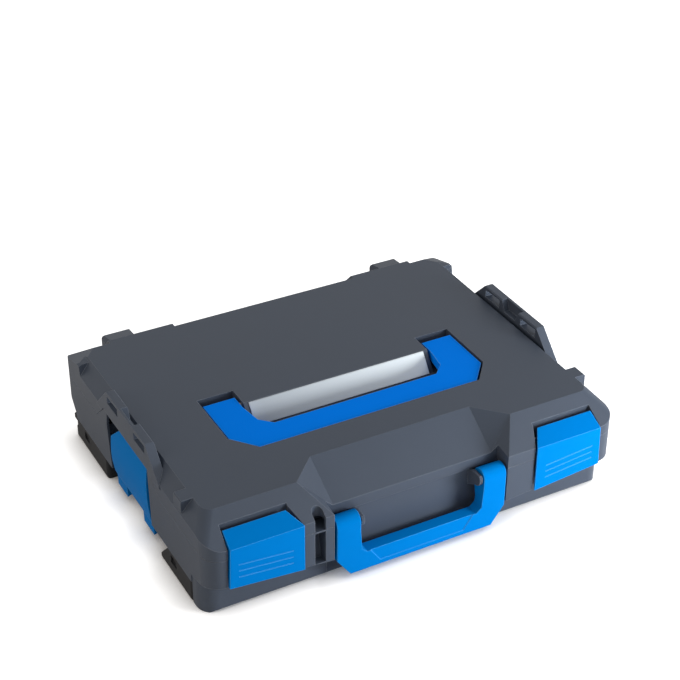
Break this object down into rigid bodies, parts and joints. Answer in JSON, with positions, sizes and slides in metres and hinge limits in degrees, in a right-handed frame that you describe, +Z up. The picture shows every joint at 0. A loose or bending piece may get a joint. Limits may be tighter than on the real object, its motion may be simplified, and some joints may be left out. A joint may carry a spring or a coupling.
{
  "type": "hard tool case",
  "caption": "Stackable hard plastic tool case with a hinged lid, snap latches at the front, a carry handle, a fold-flat lid handle, stacking brackets and side levers.",
  "frame": {"origin": "under the middle of the case's outline, on the surface it stands on", "axes": "+X to the right side seen from the front, +Y to the hinge side, +Z up; the latches and the carry handle face -Y"},
  "size_m": [0.442, 0.365, 0.118],
  "materials": {
    "base_shell": "fine-grained moulded anthracite plastic",
    "lid_shell": "fine-grained moulded anthracite plastic",
    "runners": "black moulded plastic",
    "dark_pins": "dark moulded plastic",
    "steel_pins": "drawn steel rod",
    "carry_handle": "smooth blue plastic",
    "lid_handle": "smooth blue plastic",
    "latches": "smooth blue plastic",
    "side_levers": "smooth blue plastic",
    "label_plate": "silver-grey plate"
  },
  "bodies": {
    "base": {"base_shell": "base_shell", "runner_front_left": "runners", "runner_front_right": "runners", "runner_back_left": "runners", "runner_back_right": "runners", "hinge_pin_left": "steel_pins", "hinge_pin_right": "steel_pins", "grip_pin_left": "dark_pins", "grip_pin_right": "dark_pins", "lever_pin_left": "steel_pins", "lever_pin_right": "steel_pins"},
    "lid": {"lid_shell": "lid_shell", "bracket_left": "lid_shell", "bracket_right": "lid_shell", "hinge_cover_left": "lid_shell", "hinge_cover_right": "lid_shell", "label_plate": "label_plate", "latch_pin_left": "dark_pins", "latch_pin_right": "dark_pins", "top_pin_left": "steel_pins", "top_pin_right": "steel_pins"},
    "front_latch_left": {"latch_left": "latches"},
    "front_latch_right": {"latch_right": "latches"},
    "front_handle": {"carry_handle": "carry_handle"},
    "top_handle": {"lid_handle": "lid_handle"},
    "lever_left": {"side_lever_left": "side_levers"},
    "lever_right": {"side_lever_right": "side_levers"}
  },
  "joints": [
    {"name": "lid_hinge", "type": "hinge", "parent": "base", "child": "lid", "pos_m": [0, 0.1725, 0.084], "axis": [-1, 0, 0], "range_deg": [0, 95]},
    {"name": "latch_left_turn", "type": "hinge", "parent": "lid", "child": "front_latch_left", "pos_m": [-0.1625, -0.17, 0.0835], "axis": [-1, 0, 0], "range_deg": [0, 70]},
    {"name": "latch_right_turn", "type": "hinge", "parent": "lid", "child": "front_latch_right", "pos_m": [0.1625, -0.17, 0.0835], "axis": [-1, 0, 0], "range_deg": [0, 70]},
    {"name": "carry_handle_turn", "type": "hinge", "parent": "base", "child": "front_handle", "pos_m": [0, -0.1722, 0.063], "axis": [-1, 0, 0], "range_deg": [0, 95]},
    {"name": "lid_handle_turn", "type": "hinge", "parent": "lid", "child": "top_handle", "pos_m": [0, -0.003, 0.0974], "axis": [-1, 0, 0], "range_deg": [0, 95]},
    {"name": "side_lever_left_turn", "type": "hinge", "parent": "base", "child": "lever_left", "pos_m": [-0.2125, 0.0015, 0.058], "axis": [0, 1, 0], "range_deg": [0, 8], "stiffness_Nm_per_rad": 0.6},
    {"name": "side_lever_right_turn", "type": "hinge", "parent": "base", "child": "lever_right", "pos_m": [0.2125, 0.0015, 0.058], "axis": [0, -1, 0], "range_deg": [0, 8], "stiffness_Nm_per_rad": 0.6}
  ]
}
